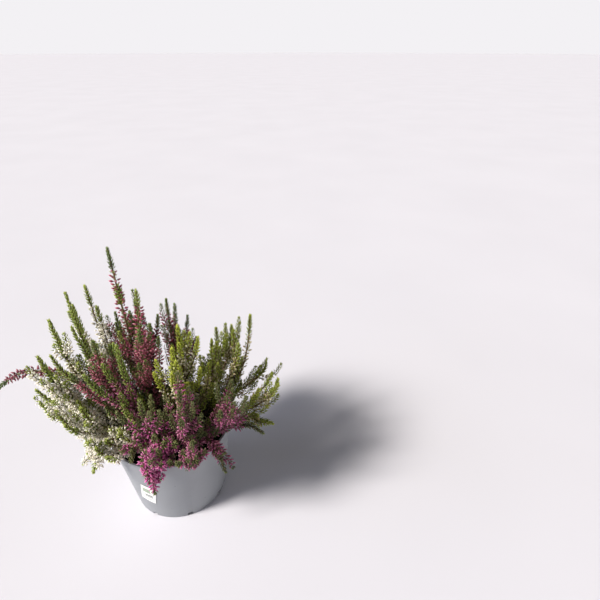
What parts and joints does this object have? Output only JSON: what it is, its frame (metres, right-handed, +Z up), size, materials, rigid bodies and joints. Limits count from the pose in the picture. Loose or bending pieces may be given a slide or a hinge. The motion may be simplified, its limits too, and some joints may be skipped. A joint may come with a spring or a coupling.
{
  "type": "potted heather",
  "caption": "Mixed heather in a round tapered plastic pot: leafy sprays with white, crimson and magenta florets and green tips.",
  "frame": {"origin": "centre of the pot's flat underside", "axes": "+Z up, +X to the right and +Y to the back as the picture sees it"},
  "size_m": [0.3339, 0.2207, 0.313],
  "materials": {
    "pot": "matte",
    "soil": "matte",
    "label": "matte",
    "white_florets": "matte",
    "crimson_florets": "matte",
    "magenta_florets": "matte",
    "lime_florets": "matte",
    "white_leaves": "satin",
    "crimson_leaves": "satin",
    "magenta_leaves": "satin",
    "lime_leaves": "satin"
  },
  "bodies": {
    "root": {"crimson_spray_01": "crimson_florets", "crimson_spray_02": "crimson_florets", "crimson_spray_03": "crimson_florets", "crimson_spray_04": "crimson_florets", "crimson_spray_05": "crimson_florets", "crimson_spray_06": "crimson_florets", "crimson_spray_07": "crimson_florets", "crimson_spray_08": "crimson_florets", "crimson_spray_09": "crimson_florets", "crimson_tip_01": "crimson_leaves", "crimson_tip_02": "crimson_leaves", "crimson_tip_03": "crimson_leaves", "crimson_tip_05": "crimson_leaves", "crimson_tip_06": "crimson_leaves", "label": "label", "lime_spray_01": "lime_florets", "lime_spray_02": "lime_florets", "lime_spray_03": "lime_florets", "lime_spray_04": "lime_florets", "lime_spray_05": "lime_florets", "lime_spray_06": "lime_florets", "lime_spray_07": "lime_florets", "lime_spray_08": "lime_florets", "lime_spray_09": "lime_florets", "lime_tip_01": "lime_leaves", "lime_tip_02": "lime_leaves", "lime_tip_03": "lime_leaves", "lime_tip_04": "lime_leaves", "lime_tip_05": "lime_leaves", "magenta_spray_01": "magenta_florets", "magenta_spray_02": "magenta_florets", "magenta_spray_03": "magenta_florets", "magenta_spray_04": "magenta_florets", "magenta_spray_05": "magenta_florets", "magenta_spray_06": "magenta_florets", "magenta_spray_07": "magenta_florets", "magenta_spray_08": "magenta_florets", "magenta_spray_09": "magenta_florets", "magenta_spray_10": "magenta_florets", "magenta_tip_03": "magenta_leaves", "magenta_tip_04": "magenta_leaves", "magenta_tip_06": "magenta_leaves", "magenta_tip_08": "magenta_leaves", "magenta_tip_10": "magenta_leaves", "pot": "pot", "soil": "soil", "white_spray_01": "white_florets", "white_spray_02": "white_florets", "white_spray_03": "white_florets", "white_spray_04": "white_florets", "white_spray_05": "white_florets", "white_spray_06": "white_florets", "white_spray_07": "white_florets", "white_spray_08": "white_florets", "white_tip_01": "white_leaves", "white_tip_02": "white_leaves", "white_tip_03": "white_leaves", "white_tip_04": "white_leaves", "white_tip_05": "white_leaves", "white_tip_06": "white_leaves"}
  },
  "joints": []
}
